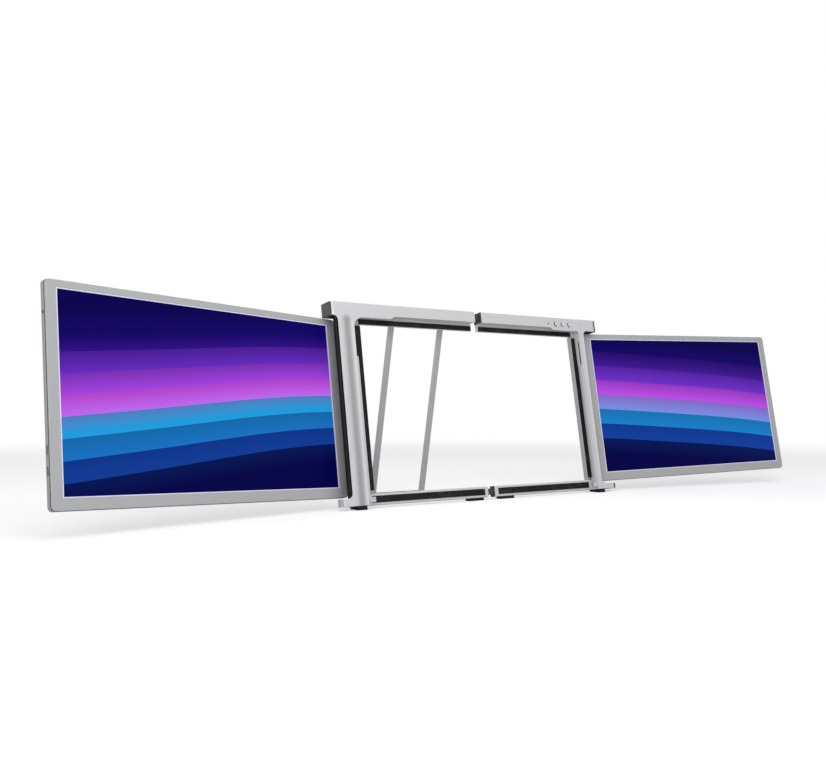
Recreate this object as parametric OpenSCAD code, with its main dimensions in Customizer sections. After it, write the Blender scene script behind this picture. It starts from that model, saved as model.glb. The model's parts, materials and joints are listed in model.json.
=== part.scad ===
// Portable screen extender: two 15.6 inch screens hinged to a telescoping frame
// that clips round the lid of a laptop and stands on a fold-out leg.
// Before it is leaned back, x runs along the frame, y points to its back and z up it.
// x = 0, y = 0 is the lower left corner of the front of the lid that it holds.

/* [Stance] */
// Angle that the frame leans back from upright, degrees
lean = 9.5; // [0:0.5:12]
// Angle that the left screen is swung forward from flat, degrees
left_swing = 13.3; // [0:0.1:60]
// Angle that the right screen is swung forward from flat, degrees
right_swing = 7.9; // [0:0.1:60]

/* [Frame] */
// Left end of the silver frame at its top corner
frame_x0 = -36; // [-40:1:-34]
// Right end of the silver frame
frame_x1 = 408; // [404:1:412]
// Underside of the frame
frame_z0 = 6.5; // [5:0.5:8]
// Top of the frame
frame_z1 = 250; // [248:0.5:254]
// Underside of the top bars, which is where the lid's top edge meets them
bar_z0 = 235.5; // [234.5:0.5:236.5]
// Lower edge of the front hooks at the top corners
hook_z = 232; // [231:0.5:233]
// Lower edge of the lips behind the lid
lip_z = 226; // [222:1:228]
// Inner front edge of the left column
left_inner_x = -7; // [-8:0.5:-7]
// Outer front edge of the left column
left_outer_x = -29; // [-29.5:0.5:-29]
// Inner front edge of the right column
right_inner_x = 374.5; // [374.5:0.1:375.5]
// Outer front edge of the right column
right_outer_x = 383.7; // [383:0.1:383.7]
// Seam between the right top bar and its corner block
seam_x = 379; // [377:0.5:381]
// End of the left bars
split_x = 183; // [178:1:184]
// Gap that the telescoping bars are pulled apart by
split_gap = 11; // [10.5:0.5:30]
// Depth of the top bars behind the front of the lid
bar_back_y = 12.5; // [12:0.5:14]
// Depth of the corner blocks behind the front of the lid
block_back_y = 17.5; // [17:0.5:18]
// Room for the thickness of the lid
lid_gap = 6.8; // [5.5:0.1:7]

/* [Screens] */
// Width of the picture, 15.6 inch at 16:9
picture_w = 344.2; // [340:0.1:345]
// Height of the picture
picture_h = 193.6; // [191:0.1:194]
// Underside of the picture above the frame's zero
picture_z = 30.5; // [30:0.1:31]
// Bezel on the hinge side
bezel_hinge = 14.5; // [14:0.1:16]
// Bezel on the far side
bezel_far = 11.8; // [11:0.1:14]
// Bezel over the picture
bezel_top = 8.4; // [8:0.1:8.8]
// Bezel under the picture
bezel_bottom = 12.3; // [12:0.1:12.6]
// Thickness of a whole screen
screen_t = 9.5; // [9:0.1:9.8]
// Corner radius of a screen
screen_r = 4.5; // [3:0.5:6]

/* [Stand] */
// Left side of the folding leg
leg_x0 = 62; // [58:1:70]
// Width of the folding leg
leg_w = 86; // [80:1:90]
// Length of the leg from its hinge to its foot
leg_len = 235; // [234:0.5:236]
// Height of the leg's hinge on the frame
leg_z = 243; // [242:0.5:244]
// Distance of the leg's hinge behind the front of the lid
leg_y = 20; // [19.5:0.5:21]

/* [Controls] */
// Centre of the first of the three buttons
button_x = 330.5; // [328:0.5:332]
// Distance between buttons
button_pitch = 13; // [12:0.5:13]
// Height of the buttons
button_z = 241; // [240.5:0.5:243]
// Radius of a button
button_r = 3.2; // [2.5:0.1:3.4]
// Centre of the power light
light_x = 316; // [314.5:0.5:316.5]

/* [Hidden] */
$fn = 48;

LEFT = 0;
RIGHT = 1;
silver = "silver";
satin = "darkgray";
dark = [0.25, 0.25, 0.27];
black = [0.06, 0.06, 0.07];
steel = [0.65, 0.65, 0.68];
board_green = [0.08, 0.3, 0.16];

// Screens: hinge axes, and where each screen lies behind and beyond its own axis
hinge_x = [-30, 387];
hinge_y = [1.5, 4.2];
face_y = [15.3, 7.83];
edge_x = [-12.65, 6.83];
screen_w = bezel_hinge + picture_w + bezel_far;
screen_h = bezel_bottom + picture_h + bezel_top;
screen_z = picture_z - bezel_bottom;
bezel_t = 2;
window_lip_t = 1;
// Shallow step round the picture's window
rebate_w = 1;
rebate_t = 0.4;
seam_t = 0.4;
shell_proud = 0.3;
shell_wall = 1.2;
panel_rim = 3.9;
panel_t = 1.4;
backlight_t = 2.8;
port_depth = 7.4;
port_y = 6.1;
// Half sizes of the two flat sockets and their tongues, and the audio jack
socket_w = 4.4;
socket_h = 1.6;
tongue_w = 3.2;
tongue_h = 0.35;
tongue_in = 1.2;
jack_r = 1.8;
jack_bore_r = 1.2;
usb_z = [screen_z + 36, screen_z + 55];
jack_z = screen_z + 183;
screw_x = [9, 150, 240, 355];
screw_z = [screen_z + 7, screen_z + screen_h - 6];
screen_screw_r = 0.9;
screen_screw_len = 3.4;
screen_head_r = 1.9;
screen_head_t = 0.9;
// Middle of the sockets behind the face, and the board that carries them
port_mid_y = bezel_t + port_y - 2.4;
board_t = 1;

// Hinges
barrel_r = 3;
pin_r = 1.5;
running = 0.05;
pin_hold = 6.5;
pin_reach = 11;
notch_z0 = 15.5;
notch_z1 = 233.2;
washer_t = 0.35;
spine_z0 = notch_z0 + 0.5;
spine_z1 = notch_z1 - 0.5;
leaf_short = 6.5;

// Frame
front_y = -3;
hook_t = 2.4;
pad_t = 1;
pad_gap = 3;
lip_y = lid_gap + pad_t;
cover_y0 = 13;
cover_y1 = 15;
cover_z0 = 21;
cover_z1 = 225.8;
// Outer side, column side and inner side of each back cover
left_cover = [-16.2, left_inner_x + 0.2, 8];
right_cover = [right_outer_x, right_inner_x - 0.2, 366.5];
corner_x = 6;
hook_end = 47;
hook_slope = 7;
edge_c = 0.8;
right_bar_x0 = split_x + split_gap;
hook_start_right = 325;
right_bottom_z = 13.5;
left_bottom_x = frame_x0 - 5;
// The lower left ear is shallower than the column's foot, which starts at ear_x
ear_x = -24;
ear_back_y = 7;
bottom_y0 = lip_y;
bottom_y1 = 16.5;
bottom_z1 = 20.5;
cap_t = 3;
cap_y = -1;
bevel_x = 3;

// Screws that hold the back covers
cover_screw_x = [-11, 379.1];
cover_screw_z = [28, 95, 160, 218];
cover_screw_r = 1;
boss_r = 2.4;
boss_y0 = 8;
screw_head_r = 1.9;
screw_head_t = 0.8;

// Rails: the top one is 8 by 8 and the bottom one 6 by 8
top_rail_y = [0.5, 8.5];
top_rail_z = [239, 247];
bottom_rail_y = [9.2, 15.2];
bottom_rail_z = [9.5, 17.5];
rail_x = [20, 300];
rail_gap = 0.3;
rail_pocket_x = 313;
bush_gap = 0.15;
bush_len = 12;
bush_wall = 1;
flange_t = 1;

// Clips that slide up and down inside the columns
clip_gap = 0.2;
clip_t = 2.5;
clip_y = [-2.4, 4.6];
clip_z = [9.7, 184];
tab_z = [9.7, 15.9];
tab_y = [-3.2, -0.8];
tab_reach = 9;
key_y = [0.6, 2.4];
key_z0 = clip_z[0] + 9;
key_deep = 1;
slot_end = 1;
slot_gap = 0.3;
clip_travel = 33;

// Button board
board_x = [322, 366];
board_y = [3, 4.2];
pocket_y = [-0.6, 9];
pocket_z = [237, 248.5];
button_proud = 1.2;
button_gap = 0.1;
flange_r = 3.8;
switch_y = 1.1;
switch_w = 6;

// The table lies this far under the frame's zero once it is leaned back
table_z = 1.5;
foot_w = 13;
foot_y = [front_y + 2.5, block_back_y - 0.5];
foot_r = 4;
foot_core_r = 2;
leg_t = 3.5;
leg_bar = 8;
eye_r = 4;
lug_t = 4.7;
leg_hinge_h = leg_z * cos(lean) - leg_y * sin(lean) - table_z;
leg_open = lean + acos((leg_hinge_h - foot_r) / leg_len);

// Ends of the whole object, which set its origin under the middle of its box
left_end_x = hinge_x[LEFT] - (face_y[LEFT] + screen_t) * sin(left_swing)
    - (edge_x[LEFT] + screen_w + shell_proud) * cos(left_swing);
right_end_x = hinge_x[RIGHT] + (face_y[RIGHT] + screen_t) * sin(right_swing)
    + (edge_x[RIGHT] + screen_w + shell_proud) * cos(right_swing);
left_front_y = hinge_y[LEFT] + face_y[LEFT] * cos(left_swing)
    - (edge_x[LEFT] + screen_w) * sin(left_swing);
front_end_y = left_front_y * cos(lean) + (screen_z + screen_r) * sin(lean);
leg_foot_y = leg_y * cos(lean) + leg_z * sin(lean) + leg_len * sin(leg_open - lean);
origin_x = (left_end_x + right_end_x) / 2;
origin_y = (front_end_y + leg_foot_y + foot_r) / 2;

// ---------------------------------------------------------------- helpers

module leaned() {
    translate([-origin_x, -origin_y, -table_z])
        rotate([-lean, 0, 0])
            children();
}

// A block given by its lowest and highest corner
module block(x, y, z) {
    translate([x[0], y[0], z[0]])
        cube([x[1] - x[0], y[1] - y[0], z[1] - z[0]]);
}

// An outline in y and z, drawn out along x
module along_x(x) {
    translate([x[0], 0, 0])
        rotate([90, 0, 90])
            linear_extrude(x[1] - x[0])
                children();
}

// An outline in x and z, drawn out along y
module along_y(y) {
    translate([0, y[1], 0])
        rotate([90, 0, 0])
            linear_extrude(y[1] - y[0])
                children();
}

// An outline in x and y, drawn out along z
module along_z(z) {
    translate([0, 0, z[0]])
        linear_extrude(z[1] - z[0])
            children();
}

module rod_x(x, y, z, r) {
    translate([x[0], y, z])
        rotate([0, 90, 0])
            cylinder(r = r, h = x[1] - x[0]);
}

module rod_y(x, y, z, r) {
    translate([x, y[1], z])
        rotate([90, 0, 0])
            cylinder(r = r, h = y[1] - y[0]);
}

// A slot along x whose upper and lower end are round
module slot_x(x, y, z, w, h) {
    block(x, [y - h, y + h], [z - w + h, z + w - h]);
    for (end = [z - w + h, z + w - h])
        rod_x(x, y, end, h);
}

// A rectangle with round corners
module round_rect(x, z, r) {
    translate([x[0] + r, z[0]])
        square([x[1] - x[0] - 2 * r, z[1] - z[0]]);
    translate([x[0], z[0] + r])
        square([x[1] - x[0], z[1] - z[0] - 2 * r]);
    for (cx = [x[0] + r, x[1] - r], cz = [z[0] + r, z[1] - r])
        translate([cx, cz])
            circle(r = r);
}

// The solid corner that a round inner corner leaves, with its square corner at (x, z)
module inner_fillet(x, z, r, sx, sz) {
    translate([x, z])
        scale([sx, sz])
            difference() {
                translate([-0.01, -0.01])
                    square(r + 0.01);
                translate([r, r])
                    circle(r = r);
            }
}

// ---------------------------------------------------------------- frame

// Plan of a corner block with a bevelled outer front edge
module block_plan(x_in, x_out, y_back) {
    s = sign(x_in - x_out);
    polygon([
        [x_in, front_y], [x_out + s * bevel_x, front_y], [x_out, cap_y],
        [x_out, y_back], [x_in, y_back]
    ]);
}

module pin_holes(side) {
    for (z = [notch_z0 - pin_hold, notch_z1])
        translate([hinge_x[side], hinge_y[side], z])
            cylinder(r = pin_r, h = pin_hold);
}

// Slot that the clip's key runs in
module clip_slot(x) {
    block(x, [key_y[0] - slot_gap, key_y[1] + slot_gap],
        [key_z0 - slot_end, clip_z[1] + clip_travel + slot_gap]);
}

module cover_bosses(side) {
    for (z = cover_screw_z)
        rod_y(cover_screw_x[side], [-1, cover_y0], z, boss_r);
}

module cover_screw_holes(side) {
    for (z = cover_screw_z)
        rod_y(cover_screw_x[side], [boss_y0, cover_y0 + 1], z, cover_screw_r);
}

module left_column() {
    outer_y = -1.8;
    step_x = left_outer_x + 3;
    wall = 1.5;
    groove_w = 17;
    groove_deep = 2.2;
    groove_r = (pow(groove_w / 2, 2) + pow(groove_deep, 2)) / (2 * groove_deep);
    groove_x = left_inner_x - 0.5 - groove_w / 2;
    groove_z = [frame_z0 - 1, 227.5];
    corner_r = 13;
    arch_r = 6;
    back_x = left_cover[0];
    hollow_x = [-23.8, -13.5];
    hollow_y = 0.4;
    color(silver)
        leaned()
            difference() {
                union() {
                    along_z([notch_z0, notch_z1])
                        polygon([
                            [left_outer_x, front_y], [left_inner_x, front_y],
                            [left_inner_x, cover_y0], [back_x, cover_y0],
                            [step_x, 0], [step_x, outer_y], [left_outer_x, outer_y]
                        ]);
                    along_z([notch_z1, frame_z1])
                        block_plan(left_inner_x, frame_x0, block_back_y);
                    along_z([frame_z0, notch_z0])
                        block_plan(left_inner_x, left_bottom_x, ear_back_y);
                    block([ear_x, left_inner_x], [front_y, block_back_y], [frame_z0, notch_z0]);
                    block([left_inner_x, corner_x], [front_y, block_back_y], [bar_z0, frame_z1]);
                    block([left_inner_x, corner_x], [front_y, front_y + hook_t], [hook_z, bar_z0]);
                    block([left_inner_x, corner_x], [lip_y, cover_y0], [cover_z1, bar_z0]);
                    along_y([front_y, front_y + hook_t])
                        inner_fillet(left_inner_x, hook_z, corner_r, 1, -1);
                    along_y([front_y, outer_y]) {
                        inner_fillet(left_outer_x, notch_z1, arch_r, -1, -1);
                        inner_fillet(left_outer_x, notch_z0, arch_r, -1, 1);
                    }
                }
                difference() {
                    along_z([cover_z0, cover_z1])
                        polygon([
                            [hollow_x[0], hollow_y], [left_inner_x - wall, hollow_y],
                            [left_inner_x - wall, cover_y0 + 1], [hollow_x[1], cover_y0 + 1]
                        ]);
                    cover_bosses(LEFT);
                }
                cover_screw_holes(LEFT);
                translate([groove_x, front_y - groove_r + groove_deep, groove_z[0]]) {
                    cylinder(r = groove_r, h = groove_z[1] - groove_z[0], $fn = 96);
                    translate([0, 0, groove_z[1] - groove_z[0]])
                        sphere(r = groove_r, $fn = 96);
                }
                clip_slot([left_inner_x - 2, left_inner_x + 1]);
                pin_holes(LEFT);
            }
}

module right_column() {
    wall = 1.4;
    groove_w = 6.4;
    groove_deep = 0.8;
    groove_r = (pow(groove_w / 2, 2) + pow(groove_deep, 2)) / (2 * groove_deep);
    mid_x = (right_inner_x + right_outer_x) / 2;
    arch_r = 6;
    arch_y = -1.4;
    hollow_y = -0.6;
    seat_w = 8;
    seat_y = [-1, 9];
    color(silver)
        leaned()
            difference() {
                union() {
                    block([right_inner_x, right_outer_x], [front_y, cover_y0],
                        [right_bottom_z, notch_z1]);
                    block([right_inner_x, seam_x], [front_y, cover_y0], [notch_z1, bar_z0]);
                    along_z([notch_z1, frame_z1])
                        block_plan(seam_x, frame_x1, block_back_y);
                    along_z([frame_z0, right_bottom_z])
                        block_plan(right_inner_x, frame_x1, block_back_y);
                    block([right_outer_x, right_outer_x + seat_w], seat_y,
                        [right_bottom_z, notch_z0]);
                    along_y([front_y, arch_y]) {
                        inner_fillet(right_outer_x, notch_z1, arch_r, 1, -1);
                        inner_fillet(right_outer_x, right_bottom_z, arch_r, 1, 1);
                    }
                }
                difference() {
                    block([right_inner_x + wall, right_outer_x - wall], [hollow_y, cover_y0 + 1],
                        [cover_z0, cover_z1]);
                    cover_bosses(RIGHT);
                }
                cover_screw_holes(RIGHT);
                translate([mid_x, front_y - groove_r + groove_deep, cover_z0])
                    cylinder(r = groove_r, h = cover_z1 - cover_z0);
                clip_slot([right_inner_x - 1, right_inner_x + 2]);
                pin_holes(RIGHT);
            }
}

// Outline of a top bar in y and z, with the lip that goes behind the lid
module top_bar_outline() {
    polygon([
        [front_y, bar_z0], [front_y, frame_z1 - edge_c], [front_y + edge_c, frame_z1],
        [bar_back_y - edge_c, frame_z1], [bar_back_y, frame_z1 - edge_c],
        [bar_back_y, lip_z], [lip_y, lip_z], [lip_y, bar_z0]
    ]);
}

module left_top_bar() {
    color(silver)
        leaned()
            difference() {
                union() {
                    along_x([corner_x, split_x])
                        top_bar_outline();
                    along_y([front_y, front_y + hook_t])
                        polygon([
                            [corner_x, bar_z0 + 1], [corner_x, hook_z], [hook_end, hook_z],
                            [hook_end + hook_slope, bar_z0], [hook_end + hook_slope, bar_z0 + 1]
                        ]);
                }
                block([rail_x[0], split_x + 1], top_rail_y, top_rail_z);
            }
}

module right_top_bar() {
    gap = [-rail_gap, rail_gap];
    bush = [-bush_gap - bush_wall, bush_gap + bush_wall];
    color(silver)
        leaned()
            difference() {
                union() {
                    along_x([right_bar_x0, right_inner_x])
                        top_bar_outline();
                    block([right_inner_x, seam_x], [front_y, bar_back_y], [bar_z0, frame_z1]);
                    along_y([front_y, front_y + hook_t])
                        polygon([
                            [right_inner_x, bar_z0 + 1], [right_inner_x, hook_z],
                            [hook_start_right, hook_z], [hook_start_right - hook_slope, bar_z0],
                            [hook_start_right - hook_slope, bar_z0 + 1]
                        ]);
                }
                block([right_bar_x0 - 1, rail_pocket_x], top_rail_y + gap, top_rail_z + gap);
                block([right_bar_x0 - 1, right_bar_x0 + bush_len],
                    top_rail_y + bush, top_rail_z + bush);
                block([board_x[0] - 2, board_x[1] + 2], pocket_y, pocket_z);
                for (i = [0:2])
                    rod_y(button_x + i * button_pitch, [front_y - 1, pocket_y[0] + 1], button_z,
                        button_r + button_gap);
                rod_y(light_x, [front_y - 1, 2], button_z, 1.2);
            }
}

// Outline of a bottom bar in y and z
module bottom_bar_outline() {
    polygon([
        [bottom_y0, frame_z0 + edge_c], [bottom_y0, bottom_z1 - edge_c],
        [bottom_y0 + edge_c, bottom_z1], [bottom_y1 - edge_c, bottom_z1],
        [bottom_y1, bottom_z1 - edge_c], [bottom_y1, frame_z0 + edge_c],
        [bottom_y1 - edge_c, frame_z0], [bottom_y0 + edge_c, frame_z0]
    ]);
}

module left_bottom_bar() {
    color(silver)
        leaned()
            difference() {
                along_x([left_inner_x, split_x])
                    bottom_bar_outline();
                block([rail_x[0], split_x + 1], bottom_rail_y, bottom_rail_z);
            }
}

module right_bottom_bar() {
    gap = [-rail_gap, rail_gap];
    bush = [-bush_gap - bush_wall, bush_gap + bush_wall];
    color(silver)
        leaned()
            difference() {
                along_x([right_bar_x0, right_inner_x])
                    bottom_bar_outline();
                block([right_bar_x0 - 1, rail_pocket_x], bottom_rail_y + gap, bottom_rail_z + gap);
                block([right_bar_x0 - 1, right_bar_x0 + bush_len],
                    bottom_rail_y + bush, bottom_rail_z + bush);
            }
}

module top_rail() {
    color(steel)
        leaned()
            block(rail_x, top_rail_y, top_rail_z);
}

module bottom_rail() {
    color(steel)
        leaned()
            block(rail_x, bottom_rail_y, bottom_rail_z);
}

// One bush with the flange that closes the end of its bar
module glide_bush(y, z, flange_y, flange_z) {
    outer = [-bush_gap - bush_wall, bush_gap + bush_wall];
    inner = [-bush_gap, bush_gap];
    difference() {
        union() {
            block([right_bar_x0, right_bar_x0 + bush_len], y + outer, z + outer);
            block([right_bar_x0 - flange_t, right_bar_x0], flange_y, flange_z);
        }
        block([right_bar_x0 - 2, right_bar_x0 + bush_len + 1], y + inner, z + inner);
    }
}

module glide_bushes() {
    color(dark)
        leaned() {
            glide_bush(top_rail_y, top_rail_z, [front_y, bar_back_y], [bar_z0, frame_z1]);
            glide_bush(bottom_rail_y, bottom_rail_z, [bottom_y0, bottom_y1],
                [frame_z0, bottom_z1]);
        }
}

// Cover on the back of a column, with the hollow lip that the lid's back lies against
module back_cover(side, x_out, x_col, x_in, slant) {
    s = sign(x_in - x_out);
    wall = 1.6;
    difference() {
        union() {
            along_z([cover_z0, cover_z1])
                polygon([
                    [x_out, cover_y0], [x_in, cover_y0], [x_in, cover_y1],
                    [x_out + s * slant, cover_y1]
                ]);
            difference() {
                block([min(x_col, x_in), max(x_col, x_in)], [lip_y, cover_y0],
                    [cover_z0, cover_z1]);
                block([min(x_col + s * wall, x_in - s * wall), max(x_col + s * wall, x_in - s * wall)],
                    [lip_y + wall, cover_y0 + 0.01], [cover_z0 + wall, cover_z1 - wall]);
            }
        }
        for (z = cover_screw_z) {
            rod_y(cover_screw_x[side], [cover_y0 - 1, cover_y1 + 1], z, cover_screw_r);
            rod_y(cover_screw_x[side], [cover_y1 - screw_head_t, cover_y1 + 1], z, screw_head_r);
        }
    }
}

module cover_screws(side) {
    color(steel)
        leaned()
            for (z = cover_screw_z) {
                rod_y(cover_screw_x[side], [boss_y0, cover_y1 - screw_head_t], z, cover_screw_r);
                rod_y(cover_screw_x[side], [cover_y1 - screw_head_t, cover_y1 - 0.1], z,
                    screw_head_r);
            }
}

module left_back_cover() {
    color(satin)
        leaned()
            back_cover(LEFT, left_cover[0], left_cover[1], left_cover[2], 1.3);
}

module right_back_cover() {
    color(satin)
        leaned()
            back_cover(RIGHT, right_cover[0], right_cover[1], right_cover[2], 0);
}

module end_cap(x, y1, z) {
    color(dark)
        leaned()
            block(x, [cap_y, y1], z);
}

module left_end_caps() {
    end_cap([frame_x0 - cap_t, frame_x0], block_back_y, [notch_z1, frame_z1]);
    end_cap([left_bottom_x - cap_t, left_bottom_x], ear_back_y, [frame_z0, notch_z0]);
}

module right_end_caps() {
    end_cap([frame_x1, frame_x1 + cap_t], block_back_y, [notch_z1, frame_z1]);
    end_cap([frame_x1, frame_x1 + cap_t], block_back_y, [frame_z0, right_bottom_z]);
}

// Rubber pads between the lid's back and the frame
module lid_pads(column_x, bar_x, bottom_x) {
    y = [lid_gap, lip_y];
    color(black)
        leaned() {
            block(column_x, y, [cover_z0 + 3, lip_z - 2]);
            block(bar_x, y, [lip_z, bar_z0 - pad_gap]);
            block(bottom_x, y, [frame_z0 + 3, bottom_z1 - 3]);
        }
}

// Wedge foot whose underside lies flat on the table when the frame is leaned back
module foot_pad(x, y) {
    under = [for (v = y) (table_z + v * sin(lean)) / cos(lean)];
    along_x(x)
        polygon([[y[0], frame_z0], [y[0], under[0]], [y[1], under[1]], [y[1], frame_z0]]);
}

module left_feet() {
    color(black)
        leaned() {
            foot_pad([ear_x + 2, ear_x + 2 + foot_w], foot_y);
            foot_pad([split_x - 33, split_x - 8], [bottom_y0 + edge_c, bottom_y1 - edge_c]);
        }
}

module right_feet() {
    color(black)
        leaned() {
            foot_pad([right_inner_x + 2, right_inner_x + 2 + foot_w], foot_y);
            foot_pad([right_bar_x0 + 8, right_bar_x0 + 33],
                [bottom_y0 + edge_c, bottom_y1 - edge_c]);
        }
}

// ---------------------------------------------------------------- hinges

module hinge_pins(side) {
    color(steel)
        leaned()
            translate([hinge_x[side], hinge_y[side], 0]) {
                translate([0, 0, notch_z0 - pin_hold])
                    cylinder(r = pin_r, h = pin_hold + pin_reach);
                translate([0, 0, notch_z1 - pin_reach])
                    cylinder(r = pin_r, h = pin_hold + pin_reach);
            }
}

module hinge_washers(side) {
    color(steel)
        leaned()
            for (z = [notch_z0, notch_z1 - washer_t])
                translate([hinge_x[side], hinge_y[side], z])
                    difference() {
                        cylinder(r = barrel_r, h = washer_t);
                        translate([0, 0, -1])
                            cylinder(r = pin_r + running, h = washer_t + 2);
                    }
}

// Places a screen that is drawn with its hinge axis at zero and its far side along +x
module swung(side) {
    leaned()
        translate([hinge_x[side], hinge_y[side], 0])
            if (side == LEFT)
                rotate([0, 0, left_swing])
                    mirror([1, 0, 0])
                        children();
            else
                rotate([0, 0, -right_swing])
                    children();
}

// Leaf of the left hinge: a slanting web from the barrel to the end of the screen
module left_leaf() {
    web_dir = [-0.685, 0.7285];
    web_side = [0.7285, 0.685];
    inner = web_side + 23 * web_dir;
    outer = -web_side + 25 * web_dir;
    end_x = edge_x[LEFT] - shell_proud;
    polygon([
        web_side, inner, [end_x, 18.2], [end_x, 23.5], [end_x - 2.2, 23.5],
        [outer[0], 20], outer, -web_side
    ]);
}

// Leaf of the right hinge: straight back from the barrel, then out to the screen
module right_leaf() {
    end_x = edge_x[RIGHT] - shell_proud;
    polygon([[0, 0], [3, 0], [3, 10.5], [end_x, 10.5], [end_x, 15.5], [0, 15.5]]);
}

module hinge_spine(side) {
    color(black)
        swung(side)
            difference() {
                union() {
                    along_z([spine_z0, spine_z1])
                        circle(r = barrel_r);
                    along_z([spine_z0 + leaf_short, spine_z1 - leaf_short])
                        if (side == LEFT)
                            left_leaf();
                        else
                            right_leaf();
                }
                for (z = [spine_z0 - 1, notch_z1 - pin_reach - 1])
                    translate([0, 0, z])
                        cylinder(r = pin_r + running, h = pin_reach + 2);
            }
}

// ---------------------------------------------------------------- screens

function picture_x(side) = edge_x[side] + bezel_hinge;

module screen_bezel(side) {
    x = [edge_x[side], edge_x[side] + screen_w];
    z = [screen_z, screen_z + screen_h];
    wx = [picture_x(side), picture_x(side) + picture_w];
    wz = [picture_z, picture_z + picture_h];
    pocket = [-panel_rim - 0.3, panel_rim + 0.3];
    color(satin)
        swung(side)
            difference() {
                along_y([face_y[side], face_y[side] + bezel_t])
                    round_rect(x, z, screen_r);
                block(wx, [face_y[side] - 1, face_y[side] + bezel_t + 1], wz);
                block(wx + pocket, [face_y[side] + window_lip_t, face_y[side] + bezel_t + 1],
                    wz + pocket);
                block(wx + [-rebate_w, rebate_w], [face_y[side] - 1, face_y[side] + rebate_t],
                    wz + [-rebate_w, rebate_w]);
            }
}

module screen_screw(x, y, z, head_y, head_r) {
    rod_y(x, [y[0], head_y], z, screen_screw_r);
    rod_y(x, [head_y, y[1]], z, head_r);
}

module screen_back(side) {
    x = [edge_x[side], edge_x[side] + screen_w];
    z = [screen_z, screen_z + screen_h];
    proud = [-shell_proud, shell_proud];
    wall = [shell_wall, -shell_wall];
    lip = [1, -1];
    y0 = face_y[side] + bezel_t;
    y1 = face_y[side] + screen_t;
    round_off = 1.6;
    post_r = 3;
    post_y = face_y[side] + window_lip_t + panel_t + backlight_t + 0.2;
    color(satin)
        swung(side)
            difference() {
                union() {
                    hull() {
                        along_y([y0 + seam_t, y1 - round_off])
                            round_rect(x + proud, z + proud, screen_r);
                        along_y([y1 - 0.1, y1])
                            round_rect(x + round_off * lip, z + round_off * lip, screen_r);
                    }
                    along_y([y0, y0 + seam_t + 0.1])
                        round_rect(x + lip, z + lip, screen_r - 1);
                }
                difference() {
                    along_y([y0 - 1, y1 - shell_wall])
                        round_rect(x + lip + wall, z + lip + wall, screen_r - 2);
                    for (sx = screw_x, sz = screw_z)
                        rod_y(edge_x[side] + sx, [post_y, y1], sz, post_r);
                }
                for (pz = usb_z)
                    slot_x([x[1] - 4, x[1] + 1], face_y[side] + port_mid_y, pz, socket_w + 0.15,
                        socket_h + 0.15);
                rod_x([x[1] - 4, x[1] + 1], face_y[side] + port_mid_y, jack_z, jack_r + 0.1);
                for (sx = screw_x, sz = screw_z)
                    screen_screw(edge_x[side] + sx, [y1 - screen_screw_len, y1 + 0.01], sz,
                        y1 - screen_head_t, screen_head_r + 0.1);
            }
}

module screen_screws(side) {
    y1 = face_y[side] + screen_t;
    color(steel)
        swung(side)
            for (sx = screw_x, sz = screw_z)
                screen_screw(edge_x[side] + sx, [y1 - screen_screw_len, y1 - 0.15], sz,
                    y1 - screen_head_t, screen_head_r);
}

module panel_block(side, y0, t, less) {
    block([picture_x(side) - panel_rim + less, picture_x(side) + picture_w + panel_rim - less],
        [y0, y0 + t],
        [picture_z - panel_rim + less, picture_z + picture_h + panel_rim - less]);
}

module display_panel(side) {
    color([0.16, 0.12, 0.5])
        swung(side)
            panel_block(side, face_y[side] + window_lip_t, panel_t, 0);
}

module backlight(side) {
    color("white")
        swung(side)
            panel_block(side, face_y[side] + window_lip_t + panel_t, backlight_t, 1.5);
}

// Board behind the backlight, with a strip up the far side to the audio jack
module driver_board(side) {
    y0 = face_y[side] + window_lip_t + panel_t + backlight_t;
    x1 = edge_x[side] + screen_w - shell_proud - port_depth;
    wide = 92;
    strip_w = 12;
    z = [screen_z + 24, screen_z + 68];
    chip = 14;
    chip_x = x1 - 60;
    chip_z = screen_z + 38;
    color(board_green)
        swung(side) {
            block([x1 - wide, x1], [y0, y0 + board_t], z);
            block([x1 - strip_w, x1], [y0, y0 + board_t], [z[1], jack_z + 3.5]);
            block([chip_x, chip_x + chip], [y0 + board_t, y0 + board_t + 0.9],
                [chip_z, chip_z + chip]);
        }
}

// Two metal sockets and an audio jack in the screen's far side
module screen_ports(side) {
    x1 = edge_x[side] + screen_w - shell_proud;
    y0 = face_y[side] + port_mid_y;
    wall = 0.4;
    back = x1 - port_depth;
    color(steel)
        swung(side) {
            for (pz = usb_z) {
                difference() {
                    slot_x([back, x1], y0, pz, socket_w, socket_h);
                    slot_x([back + 1, x1 + 1], y0, pz, socket_w - wall, socket_h - wall);
                }
                block([back + 1, x1 - tongue_in], [y0 - tongue_h, y0 + tongue_h],
                    [pz - tongue_w, pz + tongue_w]);
            }
            difference() {
                rod_x([back, x1], y0, jack_z, jack_r);
                rod_x([back + 1, x1 + 1], y0, jack_z, jack_bore_r);
            }
        }
}

// ---------------------------------------------------------------- controls and clips

module button(i) {
    x = button_x + i * button_pitch;
    color(silver)
        leaned() {
            rod_y(x, [front_y - button_proud, pocket_y[0] + 0.15], button_z, button_r);
            rod_y(x, [pocket_y[0] + 0.1, pocket_y[0] + 0.8], button_z, flange_r);
        }
}

module button_board() {
    color(board_green)
        leaned() {
            block(board_x, board_y, [pocket_z[0], pocket_z[1]]);
            for (i = [0:2])
                translate([button_x + i * button_pitch, 0, button_z])
                    block([-switch_w / 2, switch_w / 2], [switch_y, board_y[0]],
                        [-switch_w / 2, switch_w / 2]);
        }
}

module power_light() {
    color("white")
        leaned()
            rod_y(light_x, [front_y, 2], button_z, 1.2);
}

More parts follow.
